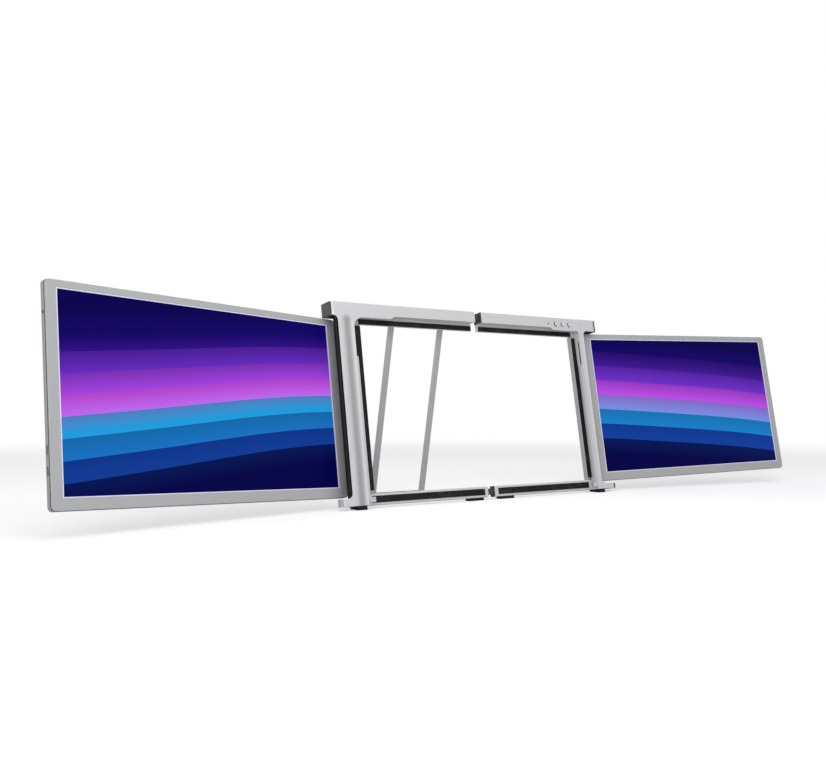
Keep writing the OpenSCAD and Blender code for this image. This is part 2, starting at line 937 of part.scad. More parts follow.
// Sliding clip: a strip along the column with a tab that hooks over the lid's corner
module lid_clip(x_col, s) {
    x0 = x_col + s * clip_gap;
    x1 = x0 + s * clip_t;
    x_key = x0 - s * (clip_gap + key_deep);
    x_tab = x0 + s * tab_reach;
    color(silver)
        leaned() {
            block([min(x0, x1), max(x0, x1)], clip_y, clip_z);
            block([min(x0, x_tab), max(x0, x_tab)], tab_y, tab_z);
            block([min(x_key, x0), max(x_key, x0)], key_y, [key_z0, clip_z[1]]);
        }
}

// ---------------------------------------------------------------- stand

module stand_bracket() {
    lug_x = [leg_x0 + leg_bar + 0.3, leg_x0 + leg_w - leg_bar - 0.3 - lug_t];
    color(dark)
        leaned()
            difference() {
                union() {
                    block([leg_x0 + leg_bar, leg_x0 + leg_w - leg_bar],
                        [bar_back_y, bar_back_y + 1.6], [leg_z - 5, leg_z + 5]);
                    for (x = lug_x) {
                        block([x, x + lug_t], [bar_back_y + 1, leg_y], [leg_z - eye_r, leg_z + eye_r]);
                        rod_x([x, x + lug_t], leg_y, leg_z, eye_r);
                    }
                }
                rod_x([leg_x0, leg_x0 + leg_w], leg_y, leg_z, pin_r);
            }
}

module stand_pins() {
    head_r = 2.8;
    head_t = 1.2;
    grip = leg_bar + 0.3 + lug_t;
    color(steel)
        leaned() {
            rod_x([leg_x0 - 0.3, leg_x0 + grip], leg_y, leg_z, pin_r);
            rod_x([leg_x0 - 0.3 - head_t, leg_x0 - 0.3], leg_y, leg_z, head_r);
            rod_x([leg_x0 + leg_w - grip, leg_x0 + leg_w + 0.3], leg_y, leg_z, pin_r);
            rod_x([leg_x0 + leg_w + 0.3, leg_x0 + leg_w + 0.3 + head_t], leg_y, leg_z, head_r);
        }
}

// Places what is drawn hanging straight down from the leg's hinge
module leg_swung() {
    leaned()
        translate([0, leg_y, leg_z])
            rotate([leg_open, 0, 0])
                children();
}

module stand_leg() {
    color(silver)
        leg_swung()
            difference() {
                union() {
                    for (x = [leg_x0, leg_x0 + leg_w - leg_bar]) {
                        rod_x([x, x + leg_bar], 0, 0, eye_r);
                        block([x, x + leg_bar], [-leg_t / 2, leg_t / 2], [-leg_len, 0]);
                        rod_x([x, x + leg_bar], 0, -leg_len, leg_t);
                    }
                    rod_x([leg_x0, leg_x0 + leg_w], 0, -leg_len, foot_core_r);
                }
                rod_x([leg_x0 - 1, leg_x0 + leg_w + 1], 0, 0, pin_r + running);
            }
}

module stand_foot() {
    x = [leg_x0 + leg_bar, leg_x0 + leg_w - leg_bar];
    color(black)
        leg_swung()
            difference() {
                rod_x(x, 0, -leg_len, foot_r);
                rod_x([x[0] - 1, x[1] + 1], 0, -leg_len, foot_core_r);
            }
}

// ---------------------------------------------------------------- nodes

left_column();
left_top_bar();
left_bottom_bar();
left_back_cover();
left_end_caps();
lid_pads([left_cover[1] + 0.5, left_cover[2] - 0.5], [corner_x, split_x - 1], [4, split_x - 6]);  // left_lid_pads
top_rail();
bottom_rail();
hinge_pins(LEFT);  // left_hinge_pins
hinge_washers(LEFT);  // left_hinge_washers
left_feet();
cover_screws(LEFT);  // left_cover_screws
stand_bracket();
stand_pins();
right_column();
right_top_bar();
right_bottom_bar();
right_back_cover();
right_end_caps();
lid_pads([right_cover[2] + 0.5, right_cover[1] - 0.5],  // right_lid_pads
        [right_bar_x0 + 1, right_cover[2]], [right_bar_x0 + 6, right_cover[2]]);
glide_bushes();
button_board();
power_light();
hinge_pins(RIGHT);  // right_hinge_pins
hinge_washers(RIGHT);  // right_hinge_washers
right_feet();
cover_screws(RIGHT);  // right_cover_screws
screen_bezel(LEFT);  // left_screen_bezel
screen_back(LEFT);  // left_screen_back
display_panel(LEFT);  // left_display_panel
backlight(LEFT);  // left_backlight
driver_board(LEFT);  // left_driver_board
screen_ports(LEFT);  // left_screen_ports
hinge_spine(LEFT);  // left_hinge_spine
screen_screws(LEFT);  // left_screen_screws
screen_bezel(RIGHT);  // right_screen_bezel
screen_back(RIGHT);  // right_screen_back
display_panel(RIGHT);  // right_display_panel
backlight(RIGHT);  // right_backlight
driver_board(RIGHT);  // right_driver_board
screen_ports(RIGHT);  // right_screen_ports
hinge_spine(RIGHT);  // right_hinge_spine
screen_screws(RIGHT);  // right_screen_screws
button(0);  // power_button
button(1);  // menu_button
button(2);  // select_button
lid_clip(left_inner_x, 1);  // left_lid_clip
lid_clip(right_inner_x, -1);  // right_lid_clip
stand_leg();
stand_foot();
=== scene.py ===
"""Looks of the screen extender: rounded metal, lit pictures, screws, dark rings of painted shade in the seams, and
the stage.
"""

import json
import math

import bmesh
import bpy
from mathutils import Matrix, Vector
from mathutils.bvhtree import BVHTree


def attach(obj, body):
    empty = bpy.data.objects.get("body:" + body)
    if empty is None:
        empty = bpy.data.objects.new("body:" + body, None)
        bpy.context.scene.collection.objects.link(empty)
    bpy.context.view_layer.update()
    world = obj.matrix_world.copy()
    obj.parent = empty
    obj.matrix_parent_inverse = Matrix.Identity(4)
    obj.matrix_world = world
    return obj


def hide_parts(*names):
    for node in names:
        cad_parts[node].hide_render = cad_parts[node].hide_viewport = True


bl_info = {
    "name": "Screen extender looks",
    "version": (1, 0, 0),
    "blender": (4, 5, 0),
    "location": "3D View > Sidebar > Extender",
    "description": "Dresses the screen extender's solids with rounded metal and lit pictures",
    "category": "Object",
}

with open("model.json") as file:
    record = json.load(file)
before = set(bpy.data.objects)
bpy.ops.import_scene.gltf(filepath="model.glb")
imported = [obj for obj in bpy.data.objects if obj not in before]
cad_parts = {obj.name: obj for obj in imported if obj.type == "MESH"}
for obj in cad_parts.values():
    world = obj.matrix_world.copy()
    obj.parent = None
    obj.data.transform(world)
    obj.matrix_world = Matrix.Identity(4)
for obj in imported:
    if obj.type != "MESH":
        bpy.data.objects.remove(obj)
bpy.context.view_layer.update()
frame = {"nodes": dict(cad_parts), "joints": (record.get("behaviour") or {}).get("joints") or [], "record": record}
NODES = frame["nodes"]
JOINTS = {joint["name"]: joint for joint in frame["joints"]}
BODY_OF = {
    node: body for body, nodes in frame["record"]["behaviour"]["bodies"].items() for node in nodes
}
FLAT_ANGLE = math.radians(0.3)
SHARP_ANGLE = math.radians(35)
CREASE_ANGLE = math.radians(50)
# Corners closer than these are one corner: of a solid, and of its finished piece
SAME_CORNER = 1e-6
SEAM_STEP = 2e-5
# An edge is rounded if both its faces go on for ROOM_REACH widths at each of these places
EDGE_PLACES = (0.1, 0.5, 0.9)
ROOM_REACH = 2.4
ROOM_MISS = 0.3
CORNER_STEPS = 8
SCREW_SIDES = 24
SOCKET_SIDES = 6
# A screw's shank against its head
SHANK_SHARE = 0.48
# A face of a button that looks forward more than this is its front
BUTTON_FRONT = 0.3

# Sockets of a colour mix: its two colours and its result
MIX_FIRST, MIX_SECOND, MIX_RESULT = 6, 7, 2
# Most values of a noise lie between these
MASK_RANGE = (0.25, 0.75)
PIT_HEIGHT = 0.00003
SKIN_HEIGHT = 0.00006
TRACK_HEIGHT = 0.00005
DUST_COLOUR = (0.42, 0.41, 0.4, 1.0)
DUST_SHARE = 0.12
# Painted shade: the left column's groove is painted this much darker down its middle
GROOVE_PAINTED_SHADE = 0.55
RAIL_LINES = (8.0, 2200.0, 2200.0)
TURNED_LINES = (1500.0, 1500.0, 40.0)

# The pictures' design: how their colours follow the height, the arcs and the bands
PICTURE_ASPECT = 1.78
RIPPLES = 5.0
RIPPLE_HEIGHT = 0.05
HEIGHT_SHARE = 0.85
COLOUR_RANGE = (0.32, 1.2)
STEP_SHARE = 0.75
BAND_SHADES = (1.18, 0.78)
# Painted light: the share of the picture's glow that is also painted into the panel's colour
PAINTED_GLOW_SHARE = 0.2
RAMP_PLACES = (0.0, 0.16, 0.34, 0.47, 0.62, 0.8, 1.0)
RAMP_COLOURS = ("floor", "blue", "cyan", "horizon", "violet", "indigo", "top")

# The floor glows for the camera, and fades into white between two distances
FLOOR_HALF = 14.0
FLOOR_COLOUR = (0.82, 0.82, 0.82)
FLOOR_GLOW = 0.4
FLOOR_FADE = (0.9, 2.4)
# Each light's name, place, target and size
LIGHTS = (
    ("key", (-1.9, -1.5, 1.0), (0, 0, 0.12), (1.6, 1.2)),
    ("near", (-0.4, -0.8, 0.85), (-0.1, 0, 0.2), (1.0, 0.4)),
    ("top", (-0.1, -0.1, 1.9), (0, 0, 0.1), (2.2, 1.4)),
)
# The camera that fits the photograph: its place, and its right, up and back
CAMERA_AXES = (
    Vector((-0.812474, -0.965195, 0.121395)),
    Vector((0.807897, -0.589321, 0.001402)),
    Vector((-0.021000, -0.026411, 0.999431)),
    Vector((-0.588949, -0.807467, -0.033713)),
)
CAMERA_SHIFT = (-0.0069, -0.01925)

# The frame leans back: RIGHT runs along it, BACK through it and UP up it
RIGHT = Vector((1, 0, 0))
UP = Vector(JOINTS["left_screen_hinge"]["axis"]).normalized()
BACK = Vector((0, UP.z, -UP.y))


# ---------------------------------------------------------------- measures


def axes_matrix(origin, x_axis, y_axis, z_axis):
    """Matrix whose columns are three axes and an origin."""
    matrix = Matrix((x_axis, y_axis, z_axis)).transposed().to_4x4()
    matrix.translation = origin
    return matrix


def frame_axes(side="left"):
    """The leaning frame's own axes, with one side's hinge as their origin."""
    return axes_matrix(Vector(JOINTS[side + "_screen_hinge"]["pos_m"]), RIGHT, BACK, UP)


def screen_axes(side):
    """A screen's own axes: out along it from the hinge, through it to its back, and up it."""
    joint = JOINTS[side + "_screen_hinge"]
    swing = math.radians(-joint["range_deg"][0])
    sign = -1 if side == "left" else 1
    far = sign * math.cos(swing) * RIGHT - math.sin(swing) * BACK
    deep = sign * math.sin(swing) * RIGHT + math.cos(swing) * BACK
    return axes_matrix(Vector(joint["pos_m"]), far, deep, UP)


def box_of(points):
    """Lowest and highest corner of some points."""
    low = Vector([min(point[i] for point in points) for i in range(3)])
    high = Vector([max(point[i] for point in points) for i in range(3)])
    return low, high


def span(node, axes):
    """Lowest and highest corner of a node, measured along the given axes."""
    inverse = axes.inverted()
    return box_of([inverse @ vertex.co for vertex in NODES[node].data.vertices])


def island_spans(node, axes):
    """The same for each separate solid of a node."""
    inverse = axes.inverted()
    shape = bmesh.new()
    shape.from_mesh(NODES[node].data)
    bmesh.ops.remove_doubles(shape, verts=shape.verts, dist=SAME_CORNER)
    left = set(shape.verts)
    found = []
    while left:
        stack = [left.pop()]
        points = []
        while stack:
            vertex = stack.pop()
            points.append(inverse @ vertex.co)
            for edge in vertex.link_edges:
                other = edge.other_vert(vertex)
                if other in left:
                    left.remove(other)
                    stack.append(other)
        found.append(box_of(points))
    shape.free()
    return sorted(found, key=lambda pair: tuple(round(value, 5) for value in pair[0]))


# ---------------------------------------------------------------- making pieces


def has_room(surface, edge, width):
    """Whether the faces beside an edge go on far enough for a rounding at each side of them."""
    for loop in edge.link_loops:
        first, last = loop.vert.co, loop.link_loop_next.vert.co
        inward = loop.face.normal.cross(last - first).normalized()
        for place in EDGE_PLACES:
            reach = first.lerp(last, place) + ROOM_REACH * width * inward
            if surface.find_nearest(reach)[3] > ROOM_MISS * width:
                return False
    return True


def round_edges(shape, width, segments=2):
    """Rounds the sharp edges that there is room to round."""
    surface = BVHTree.FromBMesh(shape)
    sharp = [
        edge for edge in shape.edges
        if len(edge.link_faces) == 2 and edge.calc_face_angle(0.0) > SHARP_ANGLE
        and has_room(surface, edge, width)
    ]
    bmesh.ops.bevel(
        shape, geom=sharp, offset=width, offset_type="OFFSET", segments=segments,
        profile=0.5, affect="EDGES", material=-1, clamp_overlap=False,
    )


def finish_piece(name, shape, body, material):
    """Turns a bmesh that is in place into a piece on a body, with its flat faces kept flat."""
    for face in shape.faces:
        face.smooth = True
    mesh = bpy.data.meshes.new(name)
    shape.to_mesh(mesh)
    shape.free()
    mesh.set_sharp_from_angle(angle=CREASE_ANGLE)
    mesh.materials.append(material)
    piece = bpy.data.objects.new(name, mesh)
    bpy.context.scene.collection.objects.link(piece)
    flat = piece.modifiers.new("flat_faces", "WEIGHTED_NORMAL")
    flat.mode = "FACE_AREA"
    flat.weight = 100
    flat.keep_sharp = True
    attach(piece, body)
    return piece


def place_piece(name, shape, axes, body, material, width=0.0):
    """Turns a bmesh that is drawn along some axes into a finished piece on a body."""
    bmesh.ops.transform(shape, matrix=axes, verts=shape.verts)
    bmesh.ops.recalc_face_normals(shape, faces=shape.faces)
    if width:
        round_edges(shape, width)
    return finish_piece(name, shape, body, material)


def soften(node, width, material, segments=2):
    """A copy of a node with rounded edges, which stands for that node."""
    shape = bmesh.new()
    shape.from_mesh(NODES[node].data)
    bmesh.ops.remove_doubles(shape, verts=shape.verts, dist=SEAM_STEP)
    bmesh.ops.dissolve_limit(
        shape, angle_limit=FLAT_ANGLE, use_dissolve_boundaries=False, verts=[],
        edges=shape.edges,
    )
    round_edges(shape, width, segments)
    piece = finish_piece(node + "_rounded", shape, BODY_OF[node], material)
    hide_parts(node)
    return piece


def dress(node, material):
    """Gives a node that stays as it is its material."""
    mesh = NODES[node].data
    mesh.materials.clear()
    mesh.materials.append(material)


def flat_outline(shape, low, high, depth, radius):
    """A rectangle in the plane at one depth, with round corners."""
    made = bmesh.ops.create_grid(shape, x_segments=1, y_segments=1, size=0.5)
    corners = made["verts"]
    size = (high[0] - low[0], high[2] - low[2])
    bmesh.ops.scale(shape, vec=(size[0], size[1], 1), verts=corners)
    bmesh.ops.rotate(shape, matrix=Matrix.Rotation(math.pi / 2, 3, "X"), verts=corners)
    middle = ((low[0] + high[0]) / 2, depth, (low[2] + high[2]) / 2)
    bmesh.ops.translate(shape, vec=middle, verts=corners)
    if radius:
        bmesh.ops.bevel(
            shape, geom=corners, offset=radius, offset_type="OFFSET", segments=CORNER_STEPS,
            profile=0.5, affect="VERTICES", material=-1,
        )


def ring_shape(low, high, depth, thickness, width, radius):
    """A flat ring round a rectangle, as wide and as thick as told."""
    shape = bmesh.new()
    flat_outline(shape, low, high, depth, radius)
    shape.faces.ensure_lookup_table()
    inner = shape.faces[0]
    bmesh.ops.inset_region(
        shape, faces=[inner], thickness=width, use_boundary=True, use_even_offset=True
    )
    bmesh.ops.delete(shape, geom=[inner], context="FACES_ONLY")
    grown = bmesh.ops.extrude_face_region(shape, geom=list(shape.faces))
    moved = [item for item in grown["geom"] if isinstance(item, bmesh.types.BMVert)]
    bmesh.ops.translate(shape, vec=(0, thickness, 0), verts=moved)
    return shape


def edges_between(vertices):
    """The edges whose two ends are both among some vertices, in a fixed order."""
    ends = set(vertices)
    found = []
    for vertex in vertices:
        for edge in vertex.link_edges:
            if edge.other_vert(vertex) in ends and edge not in found:
                found.append(edge)
    return found


def extruded(shape, edges):
    """Draws some edges out and returns their new vertices."""
    grown = bmesh.ops.extrude_edge_only(shape, edges=edges)
    return [item for item in grown["geom"] if isinstance(item, bmesh.types.BMVert)]


def second_finish(piece, material, wanted):
    """Gives the faces that are wanted, by their middle and normal, another material."""
    piece.data.materials.append(material)
    slot = len(piece.data.materials) - 1
    for face in piece.data.polygons:
        if wanted(face.center, face.normal):
            face.material_index = slot


def circle(shape, radius, sides):
    """Draws a circle and returns its vertices."""
    return bmesh.ops.create_circle(shape, radius=radius, segments=sides)["verts"]


def screw_shape(shape, low, high, sizes):
    """A screw that fills a box: shank, and at the back a round head with a six-sided socket."""
    start = set(shape.verts)
    head_r = (high.x - low.x) / 2
    under_head = (0, 0, -sizes.screw_head)
    rim_edges = edges_between(circle(shape, head_r, SCREW_SIDES))
    socket_edges = edges_between(circle(shape, sizes.socket_radius, SOCKET_SIDES))
    bmesh.ops.bridge_loops(shape, edges=rim_edges + socket_edges)
    lower = extruded(shape, rim_edges)
    bmesh.ops.translate(shape, vec=under_head, verts=lower)
    neck = circle(shape, head_r * SHANK_SHARE, SCREW_SIDES)
    neck_edges = edges_between(neck)
    bmesh.ops.translate(shape, vec=under_head, verts=neck)
    bmesh.ops.bridge_loops(shape, edges=edges_between(lower) + neck_edges)
    tip = extruded(shape, neck_edges)
    bmesh.ops.translate(shape, vec=(0, 0, -(high.y - low.y - sizes.screw_head)), verts=tip)
    bmesh.ops.contextual_create(shape, geom=tip)
    floor = extruded(shape, socket_edges)
    bmesh.ops.translate(shape, vec=(0, 0, -sizes.socket_depth), verts=floor)
    bmesh.ops.contextual_create(shape, geom=floor)
    made = [vertex for vertex in shape.verts if vertex not in start]
    bmesh.ops.rotate(shape, matrix=Matrix.Rotation(-math.pi / 2, 3, "X"), verts=made)
    middle = (low + high) / 2
    bmesh.ops.translate(shape, vec=(middle.x, high.y, middle.z), verts=made)


# ---------------------------------------------------------------- shader nodes


def add_node(tree, kind, inputs=None, **settings):
    """Adds a node, with its settings, and with values or links on its sockets."""
    node = tree.nodes.new(kind)
    for name, value in settings.items():
        setattr(node, name, value)
    for name, value in (inputs or {}).items():
        socket = node.inputs[name]
        if isinstance(value, bpy.types.NodeSocket):
            tree.links.new(value, socket)
        else:
            socket.default_value = value
    return node


def math_node(tree, operation, first, second=0.0):
    """The result of one sum."""
    return add_node(
        tree, "ShaderNodeMath", {0: first, 1: second}, operation=operation
    ).outputs[0]


def length_node(tree, first, second):
    """How far it is to a point that lies so far one way and so far square to it."""
    squares = [math_node(tree, "POWER", part, 2.0) for part in (first, second)]
    return math_node(tree, "SQRT", math_node(tree, "ADD", *squares))


def range_node(tree, value, given, wanted=(0.0, 1.0), **settings):
    """A value carried from one range to another."""
    return add_node(
        tree, "ShaderNodeMapRange",
        {"Value": value, "From Min": given[0], "From Max": given[1], "To Min": wanted[0],
         "To Max": wanted[1]},
        **settings,
    ).outputs["Result"]


def mix_node(tree, factor, first, second):
    """A colour between two others, as far along as the factor says."""
    return add_node(
        tree, "ShaderNodeMix", {"Factor": factor, MIX_FIRST: first, MIX_SECOND: second},
        data_type="RGBA",
    ).outputs[MIX_RESULT]


def seen_node(tree, path):
    """1 for what the camera sees, straight, mirrored or through glass, and 0 for the rest."""
    mirrored = math_node(
        tree, "MAXIMUM", path.outputs["Is Glossy Ray"], path.outputs["Is Transmission Ray"]
    )
    return math_node(tree, "MAXIMUM", path.outputs["Is Camera Ray"], mirrored)


def dot_node(tree, first, second):
    """The dot product of two vectors."""
    return add_node(
        tree, "ShaderNodeVectorMath", {0: first, 1: second}, operation="DOT_PRODUCT"
    ).outputs["Value"]


def new_group(name, inputs, outputs, kind="NodeSocketFloat"):
    """A shader group with named sockets. An input without a single number is a vector."""
    group = bpy.data.node_groups.new(name, "ShaderNodeTree")
    for label, value in inputs.items():
        taken = "NodeSocketFloat" if isinstance(value, float) else "NodeSocketVector"
        socket = group.interface.new_socket(name=label, in_out="INPUT", socket_type=taken)
        if value is not None:
            socket.default_value = value
    for label in outputs:
        group.interface.new_socket(name=label, in_out="OUTPUT", socket_type=kind)
    return group, group.nodes.new("NodeGroupInput"), group.nodes.new("NodeGroupOutput")


def blast_group():
    """Fine pits of blasted metal, and the slow unevenness of its tone."""
    group, given, result = new_group(
        "blasted_grain", {"Vector": None, "Grain": 2400.0, "Clouds": 14.0}, ("Pits", "Tone")
    )
    pits = add_node(
        group, "ShaderNodeTexNoise",
        {"Vector": given.outputs["Vector"], "Scale": given.outputs["Grain"], "Detail": 3.0,
         "Roughness": 0.6},
    )
    clouds = add_node(
        group, "ShaderNodeTexNoise",
        {"Vector": given.outputs["Vector"], "Scale": given.outputs["Clouds"], "Detail": 4.0,
         "Roughness": 0.55},
    )
    group.links.new(pits.outputs["Fac"], result.inputs["Pits"])
    group.links.new(clouds.outputs["Fac"], result.inputs["Tone"])
    return group


def brush_group():
    """Fine lines drawn along one direction, as a brush or a lathe leaves them."""
    group, given, result = new_group(
        "brushed_lines", {"Vector": None, "Stretch": RAIL_LINES}, ("Lines",)
    )
    scaled = add_node(
        group, "ShaderNodeVectorMath",
        {0: given.outputs["Vector"], 1: given.outputs["Stretch"]}, operation="MULTIPLY",
    )
    lines = add_node(
        group, "ShaderNodeTexNoise", {"Vector": scaled.outputs[0], "Scale": 1.0, "Detail": 2.0}
    )
    group.links.new(lines.outputs["Fac"], result.inputs["Lines"])
    return group


def mould_group():
    """The fine skin of moulded plastic and rubber, with a little dust here and there."""
    group, given, result = new_group(
        "moulded_skin", {"Vector": None, "Cells": 1500.0}, ("Skin", "Dust")
    )
    cells = add_node(
        group, "ShaderNodeTexVoronoi",
        {"Vector": given.outputs["Vector"], "Scale": given.outputs["Cells"]},
        feature="SMOOTH_F1",
    )
    dust = add_node(
        group, "ShaderNodeTexNoise",
        {"Vector": given.outputs["Vector"], "Scale": 60.0, "Detail": 6.0, "Roughness": 0.7},
    )
    faint = range_node(group, dust.outputs["Fac"], (0.5, 0.85))
    group.links.new(cells.outputs["Distance"], result.inputs["Skin"])
    group.links.new(faint, result.inputs["Dust"])
    return group


def plane_group():
    """Where a point lies on a flat panel, from 0 to 1 across it and up it."""
    group, given, result = new_group(
        "panel_plane", dict.fromkeys(("Vector", "Corner", "Across", "Upwards")), ("U", "V")
    )
    offset = add_node(
        group, "ShaderNodeVectorMath",
        {0: given.outputs["Vector"], 1: given.outputs["Corner"]}, operation="SUBTRACT",
    ).outputs[0]
    group.links.new(dot_node(group, offset, given.outputs["Across"]), result.inputs["U"])
    group.links.new(dot_node(group, offset, given.outputs["Upwards"]), result.inputs["V"])
    return group


def picture_group(colours):
    """A plain picture of wide arcs in shaded bands, lit as a screen shows it, with a dim copy of it that is
    painted into the panel's colour as painted light.
    """
    group, given, result = new_group(
        "arc_picture",
        {"U": 0.0, "V": 0.0, "Centre U": 1.3, "Centre V": -1.1, "Bands": 9.0},
        ("Color", "Film"), "NodeSocketColor",
    )
    across = math_node(
        group, "MULTIPLY",
        math_node(group, "SUBTRACT", given.outputs["U"], given.outputs["Centre U"]),
        PICTURE_ASPECT,
    )
    above = math_node(group, "SUBTRACT", given.outputs["V"], given.outputs["Centre V"])
    far = length_node(group, across, above)
    ripple = math_node(
        group, "MULTIPLY",
        math_node(group, "SINE", math_node(group, "MULTIPLY", given.outputs["U"], RIPPLES)),
        RIPPLE_HEIGHT,
    )
    way = math_node(
        group, "ADD", math_node(group, "MULTIPLY", given.outputs["V"], HEIGHT_SHARE),
        math_node(group, "MULTIPLY", math_node(group, "ADD", far, ripple), 1 - HEIGHT_SHARE),
    )
    spread = range_node(group, way, COLOUR_RANGE)
    steps = math_node(group, "MULTIPLY", spread, given.outputs["Bands"])
    whole = math_node(group, "FLOOR", steps)
    part = math_node(group, "FRACT", steps)
    stepped = math_node(group, "DIVIDE", whole, given.outputs["Bands"])
    blended = math_node(
        group, "ADD", math_node(group, "MULTIPLY", stepped, STEP_SHARE),
        math_node(group, "MULTIPLY", spread, 1 - STEP_SHARE),
    )
    ramp = add_node(group, "ShaderNodeValToRGB", {"Fac": blended})
    while len(ramp.color_ramp.elements) < len(RAMP_PLACES):
        ramp.color_ramp.elements.new(0.5)
    for element, place, colour in zip(ramp.color_ramp.elements, RAMP_PLACES, colours):
        element.position = place
        element.color = (*colour, 1.0)
    shade = range_node(group, part, (0.0, 1.0), BAND_SHADES)
    banded = add_node(
        group, "ShaderNodeVectorMath", {0: ramp.outputs["Color"], "Scale": shade},
        operation="SCALE",
    )
    painted_glow = add_node(
        group, "ShaderNodeVectorMath", {0: banded.outputs[0], "Scale": PAINTED_GLOW_SHARE},
        operation="SCALE",
    )
    group.links.new(banded.outputs[0], result.inputs["Color"])
    group.links.new(painted_glow.outputs[0], result.inputs["Film"])
    return group


def painted_groove_shade_group():
    """How near a point is to the middle of a groove, from 0 at its sides and round its end to 1, as the mask of
    the painted shade down the groove.
    """
    group, given, result = new_group(
        "groove_depth", dict.fromkeys(("Vector", "End", "Across", "Upwards")), ("Depth",)
    )
    offset = add_node(
        group, "ShaderNodeVectorMath",
        {0: given.outputs["Vector"], 1: given.outputs["End"]}, operation="SUBTRACT",
    ).outputs[0]
    across = dot_node(group, offset, given.outputs["Across"])
    above = math_node(group, "MAXIMUM", dot_node(group, offset, given.outputs["Upwards"]))
    near = range_node(
        group, length_node(group, across, above), (0.15, 1.0), (1.0, 0.0),
        interpolation_type="SMOOTHSTEP",
    )
    group.links.new(near, result.inputs["Depth"])
    return group


def circuit_group():
    """Copper tracks under green lacquer."""
    group, given, result = new_group(
        "circuit_tracks", {"Vector": None, "Pitch": 420.0}, ("Tracks",)
    )
    bricks = add_node(
        group, "ShaderNodeTexBrick",
        {"Vector": given.outputs["Vector"], "Scale": given.outputs["Pitch"],
         "Mortar Size": 0.06, "Color1": (0, 0, 0, 1), "Color2": (0.2, 0.2, 0.2, 1),
         "Mortar": (1, 1, 1, 1)},
    )
    group.links.new(bricks.outputs["Fac"], result.inputs["Tracks"])
    return group


def use_group(tree, name, inputs):
    """Places a shared group in a material."""
    return add_node(tree, "ShaderNodeGroup", inputs, node_tree=bpy.data.node_groups[name])


def start_material(name):
    """An empty material with its output, and the place of each point in it."""
    material = bpy.data.materials.new("finish_" + name)
    material.use_nodes = True
    tree = material.node_tree
    tree.nodes.clear()
    output = tree.nodes.new("ShaderNodeOutputMaterial")
    place = tree.nodes.new("ShaderNodeTexCoord").outputs["Object"]
    return material, tree, output, place


def shaded(material, tree, output, values):
    """Gives a material its shader, with these values or links, and returns it."""
    shader = add_node(tree, "ShaderNodeBsdfPrincipled", values)
    tree.links.new(shader.outputs[0], output.inputs[0])
    return material


def varied(tree, mask, low, high):
    """A value that follows a mask from low to high."""
    return range_node(tree, mask, MASK_RANGE, (low, high))


def toned(tree, mask, colour, spread):
    """A colour that a mask makes a little darker and lighter."""
    darker = (*[value * (1 - spread) for value in colour], 1.0)
    lighter = (*[min(1.0, value * (1 + spread)) for value in colour], 1.0)
    return mix_node(tree, mask, darker, lighter)


def raised(tree, height, strength, distance):
    """The normal of a surface with that height."""
    return add_node(
        tree, "ShaderNodeBump",
        {"Height": height, "Strength": strength, "Distance": distance},
    ).outputs["Normal"]


def blasted_metal(name, colour, metallic, rough, strength=0.25, shine=0.5, groove=None):
    """Bead-blasted and anodised metal, which can have painted shade down the middle of a groove."""
    material, tree, output, place = start_material(name)
    grain = use_group(tree, "blasted_grain", {"Vector": place})
    tone = toned(tree, grain.outputs["Tone"], colour, 0.025)
    # Painted shade: the colour darkens towards the groove's middle line
    if groove:
        end, half_width = groove
        depth = use_group(
            tree, "groove_depth",
            {"Vector": place, "End": end, "Across": RIGHT / half_width,
             "Upwards": UP / half_width},
        )
        darkest = (*[value * GROOVE_PAINTED_SHADE for value in colour], 1.0)
        tone = mix_node(tree, depth.outputs[0], tone, darkest)
    return shaded(
        material, tree, output,
        {
            "Base Color": tone,
            "Metallic": metallic,
            "Roughness": varied(tree, grain.outputs["Pits"], rough - 0.05, rough + 0.06),
            "Specular IOR Level": shine,
            "Normal": raised(tree, grain.outputs["Pits"], strength, PIT_HEIGHT),
        },
    )


def brushed_metal(name, colour, metallic, rough, stretch):
    """Metal with fine lines along one direction."""
    material, tree, output, place = start_material(name)
    lines = use_group(tree, "brushed_lines", {"Vector": place, "Stretch": stretch})
    return shaded(
        material, tree, output,
        {
            "Base Color": toned(tree, lines.outputs["Lines"], colour, 0.06),
            "Metallic": metallic,
            "Roughness": varied(tree, lines.outputs["Lines"], rough - 0.06, rough + 0.1),
            "Normal": raised(tree, lines.outputs["Lines"], 0.2, PIT_HEIGHT),
        },
    )


def moulded(name, colour, rough, cells=1500.0, strength=0.35, shine=0.5):
    """Moulded plastic or rubber."""
    material, tree, output, place = start_material(name)
    skin = use_group(tree, "moulded_skin", {"Vector": place, "Cells": cells})
    dusty = math_node(tree, "MULTIPLY", skin.outputs["Dust"], DUST_SHARE)
    return shaded(
        material, tree, output,
        {
            "Base Color": mix_node(tree, dusty, (*colour, 1.0), DUST_COLOUR),
            "Roughness": varied(tree, skin.outputs["Skin"], rough - 0.06, rough + 0.06),
            "Specular IOR Level": shine,
            "Normal": raised(tree, skin.outputs["Skin"], strength, SKIN_HEIGHT),
        },
    )


def glow_and_painted_highlight(name, colour, rough, strength, spread):
    """Plastic that glows: light coming through it, and on the pale picture edge a painted highlight."""
    material, tree, output, place = start_material(name)
    grain = use_group(tree, "blasted_grain", {"Vector": place, "Grain": 900.0})
    tone = toned(tree, grain.outputs["Tone"], colour, spread)
    return shaded(
        material, tree, output,
        {
            "Base Color": tone,
            "Roughness": varied(tree, grain.outputs["Pits"], rough - 0.05, rough + 0.05),
            "Emission Color": tone,
            "Emission Strength": strength,
        },
    )


